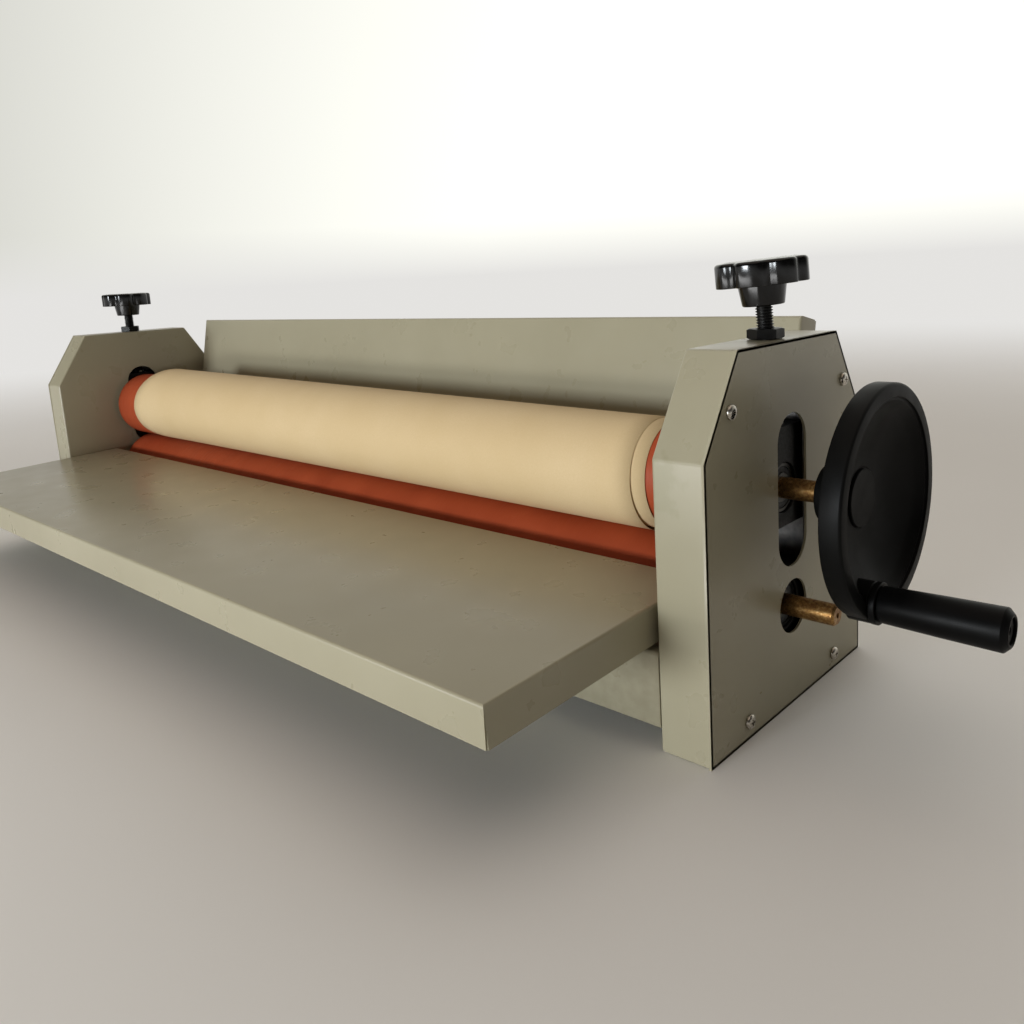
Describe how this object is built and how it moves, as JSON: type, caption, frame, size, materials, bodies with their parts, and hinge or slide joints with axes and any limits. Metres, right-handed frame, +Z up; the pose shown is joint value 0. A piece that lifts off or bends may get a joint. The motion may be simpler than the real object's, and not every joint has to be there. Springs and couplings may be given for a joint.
{
  "type": "cold roll laminator",
  "caption": "Hand-cranked table-top cold laminator: two rubber rollers between folded steel housings, with pressure screws and folding feed trays.",
  "frame": {"origin": "on the floor under the middle of the whole outline at rest, to the nearest millimetre", "axes": "+X along the rollers towards the hand wheel, +Y from the feed side to the back, +Z up"},
  "size_m": [0.9671, 0.3078, 0.2506],
  "materials": {
    "putty_paint": "satin grey-beige powder paint on folded sheet steel",
    "nickel": "nickel-plated screw",
    "zinc_steel": "zinc-plated steel",
    "brown_steel": "turned steel with a brown rust-preventing film",
    "cast_grey": "grey machined casting",
    "bright_steel": "bright ground steel",
    "black_steel": "black-oxide steel",
    "red_rubber": "brick-red silicone rubber, ground",
    "kraft_paper": "smooth kraft paper",
    "gloss_black": "glossy moulded phenolic",
    "matt_black": "fine-textured moulded nylon"
  },
  "bodies": {
    "frame": {"left_housing": "putty_paint", "left_cover": "putty_paint", "left_cover_screw_1": "nickel", "left_cover_screw_2": "nickel", "left_cover_screw_3": "nickel", "left_cover_screw_4": "nickel", "left_tie_bolt_1": "zinc_steel", "left_tie_bolt_2": "zinc_steel", "left_front_guide": "zinc_steel", "left_rear_guide": "zinc_steel", "left_screw_bridge": "zinc_steel", "left_lower_bearing_block": "cast_grey", "left_lower_bearing": "bright_steel", "left_hex_nut": "black_steel", "left_pressure_spring": "bright_steel", "front_tray_pin_left": "zinc_steel", "rear_tray_pin_left": "zinc_steel", "right_housing": "putty_paint", "right_cover": "putty_paint", "right_cover_screw_1": "nickel", "right_cover_screw_2": "nickel", "right_cover_screw_3": "nickel", "right_cover_screw_4": "nickel", "right_tie_bolt_1": "zinc_steel", "right_tie_bolt_2": "zinc_steel", "right_front_guide": "zinc_steel", "right_rear_guide": "zinc_steel", "right_screw_bridge": "zinc_steel", "right_lower_bearing_block": "cast_grey", "right_lower_bearing": "bright_steel", "right_hex_nut": "black_steel", "right_pressure_spring": "bright_steel", "front_tray_pin_right": "zinc_steel", "rear_tray_pin_right": "zinc_steel", "base_pan": "putty_paint", "front_tie_bar": "zinc_steel", "rear_tie_bar": "zinc_steel"},
    "carriage": {"paper_wrap": "kraft_paper", "left_upper_bearing_block": "cast_grey", "left_upper_bearing": "bright_steel", "right_upper_bearing_block": "cast_grey", "right_upper_bearing": "bright_steel"},
    "upper_roller": {"upper_roller_shaft": "brown_steel", "upper_roller_core_tube": "zinc_steel", "upper_roller_rubber_sleeve": "red_rubber", "handwheel": "matt_black", "handwheel_grub_screw": "black_steel", "handle_pin": "black_steel"},
    "lower_roller": {"lower_roller_shaft": "brown_steel", "lower_roller_core_tube": "zinc_steel", "lower_roller_rubber_sleeve": "red_rubber"},
    "handle": {"handle_grip": "matt_black", "handle_end_cap": "matt_black"},
    "left_screw": {"left_pressure_screw": "black_steel", "left_pressure_knob": "gloss_black"},
    "right_screw": {"right_pressure_screw": "black_steel", "right_pressure_knob": "gloss_black"},
    "front_tray": {"front_tray": "putty_paint"},
    "rear_tray": {"rear_tray": "putty_paint"}
  },
  "joints": [
    {"name": "carriage_lift", "type": "slide", "parent": "frame", "child": "carriage", "axis": [0, 0, 1], "range_m": [0, 0.018], "deforming": ["left_pressure_spring", "right_pressure_spring"]},
    {"name": "upper_roller_spin", "type": "hinge", "parent": "carriage", "child": "upper_roller", "pos_m": [-0.055, 0.052, 0.1255], "axis": [1, 0, 0], "continuous": true},
    {"name": "lower_roller_spin", "type": "hinge", "parent": "frame", "child": "lower_roller", "pos_m": [-0.055, 0.052, 0.0578], "axis": [1, 0, 0], "continuous": true},
    {"name": "handle_spin", "type": "hinge", "parent": "upper_roller", "child": "handle", "pos_m": [0.445, 0.032, 0.07815], "axis": [1, 0, 0], "continuous": true},
    {"name": "left_screw_turn", "type": "hinge", "parent": "carriage", "child": "left_screw", "pos_m": [-0.46025, 0.052, 0.2], "axis": [0, 0, 1], "range_deg": [0, 4321]},
    {"name": "right_screw_turn", "type": "hinge", "parent": "carriage", "child": "right_screw", "pos_m": [0.35025, 0.052, 0.2], "axis": [0, 0, 1], "range_deg": [0, 4321]},
    {"name": "front_tray_fold", "type": "hinge", "parent": "frame", "child": "front_tray", "pos_m": [-0.055, -0.0046, 0.0658], "axis": [-1, 0, 0], "range_deg": [0, 80]},
    {"name": "rear_tray_fold", "type": "hinge", "parent": "frame", "child": "rear_tray", "pos_m": [-0.055, 0.1166, 0.0658], "axis": [-1, 0, 0], "range_deg": [0, 78.2]}
  ],
  "couplings": [
    {"joint": "left_screw_turn", "follows": "carriage_lift", "rad_per_m": 4188.8},
    {"joint": "right_screw_turn", "follows": "carriage_lift", "rad_per_m": 4188.8},
    {"joint": "lower_roller_spin", "follows": "upper_roller_spin", "ratio": -1}
  ]
}
